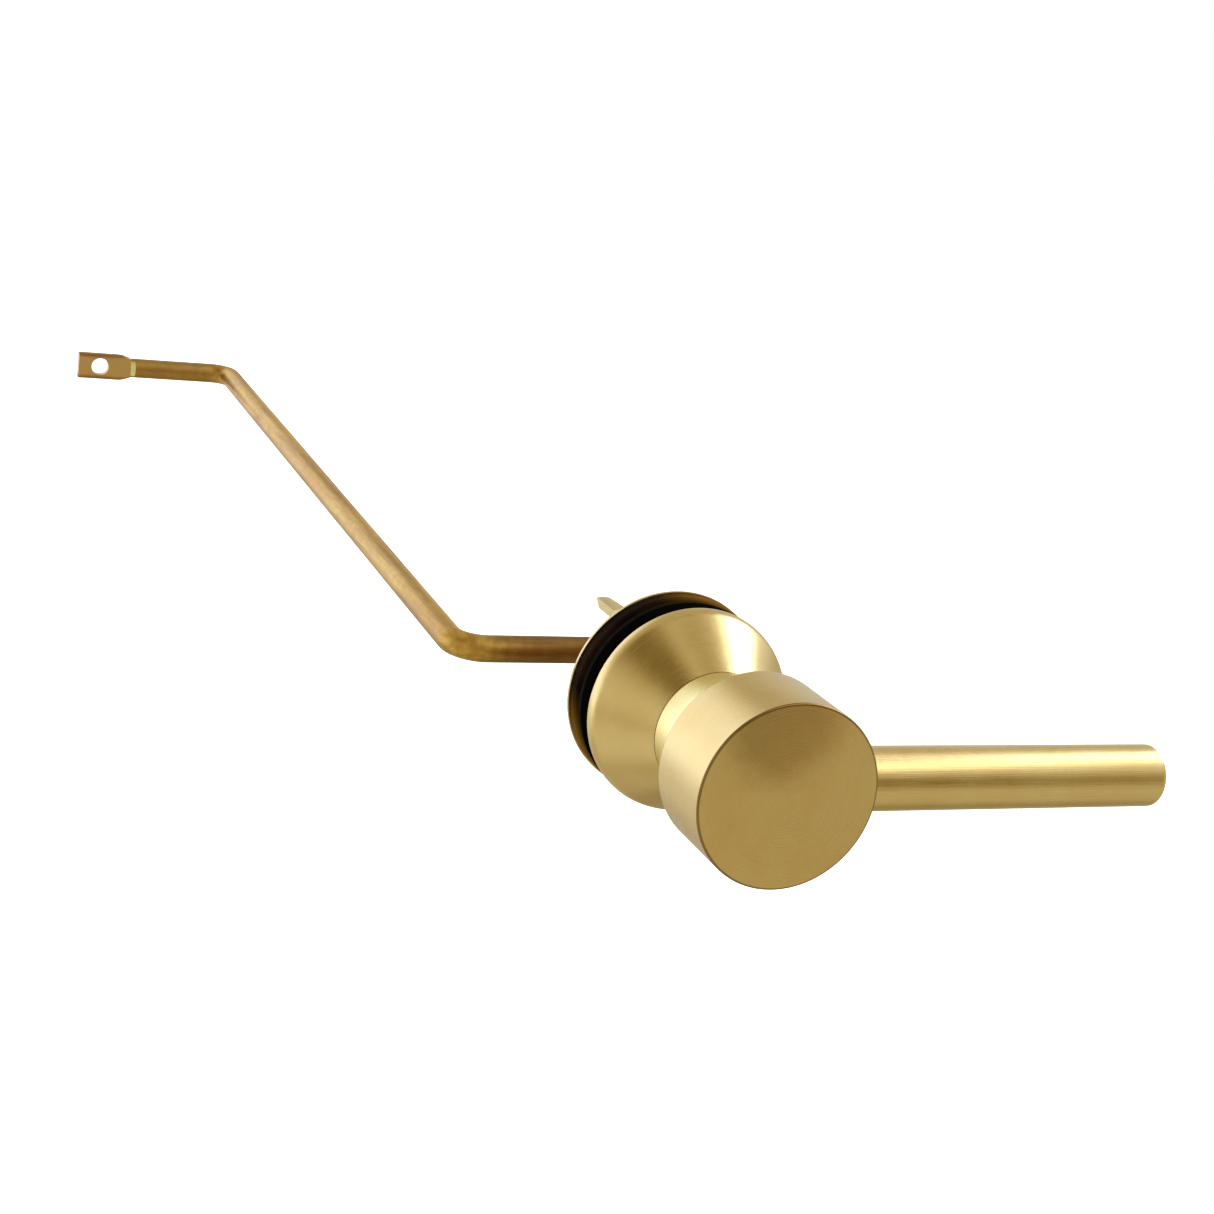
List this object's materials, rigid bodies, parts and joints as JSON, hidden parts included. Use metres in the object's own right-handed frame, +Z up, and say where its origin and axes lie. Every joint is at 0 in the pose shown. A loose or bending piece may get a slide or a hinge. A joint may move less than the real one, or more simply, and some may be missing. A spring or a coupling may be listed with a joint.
{
  "type": "toilet tank flush lever",
  "caption": "Side-mount toilet tank flush lever: round hub with a straight handle, cone escutcheon, rubber seals, lock nut on a threaded shank, and a long cranked arm with a drilled tab.",
  "frame": {"origin": "on the spindle axis, in the plane of the escutcheon's rim, which meets the tank's outer face", "axes": "+Y along the spindle into the tank, +X along the handle, +Z up"},
  "size_m": [0.1762, 0.3488, 0.0448],
  "materials": {
    "satin_brass": "satin brushed and lacquered",
    "shank_brass": "as turned",
    "raw_brass": "drawn rod, slightly tarnished",
    "rubber": "moulded, soft gloss",
    "nylon": "natural nylon",
    "steel": "stainless"
  },
  "bodies": {
    "tank_mount": {"escutcheon": "satin_brass", "mounting_shank": "shank_brass", "front_bushing": "nylon", "rear_bushing": "nylon", "thrust_washer": "nylon", "wall_pad": "rubber"},
    "lever": {"hub": "satin_brass", "lever_tube": "satin_brass", "lever_insert": "shank_brass", "lever_end_plug": "satin_brass", "lever_stud": "steel", "hub_set_screw": "steel", "arm_rod": "raw_brass", "spring_washer": "steel", "spindle_o_ring": "rubber", "clip_washer": "steel", "retaining_clip": "steel"},
    "clamp": {"inner_gasket": "rubber", "clamp_washer": "shank_brass"},
    "lock_nut": {"lock_nut": "shank_brass"}
  },
  "joints": [
    {"name": "lever_turn", "type": "hinge", "parent": "tank_mount", "child": "lever", "pos_m": [0, 0, 0], "axis": [0, 1, 0], "range_deg": [0, 49]},
    {"name": "clamp_slide", "type": "slide", "parent": "tank_mount", "child": "clamp", "axis": [0, 1, 0], "range_m": [0, 0.012]},
    {"name": "nut_turn", "type": "hinge", "parent": "clamp", "child": "lock_nut", "pos_m": [0, 0.01585, 0], "axis": [0, 1, 0], "range_deg": [-2860, 0]}
  ],
  "couplings": [
    {"joint": "clamp_slide", "follows": "nut_turn", "m_per_rad": -0.00023873}
  ]
}
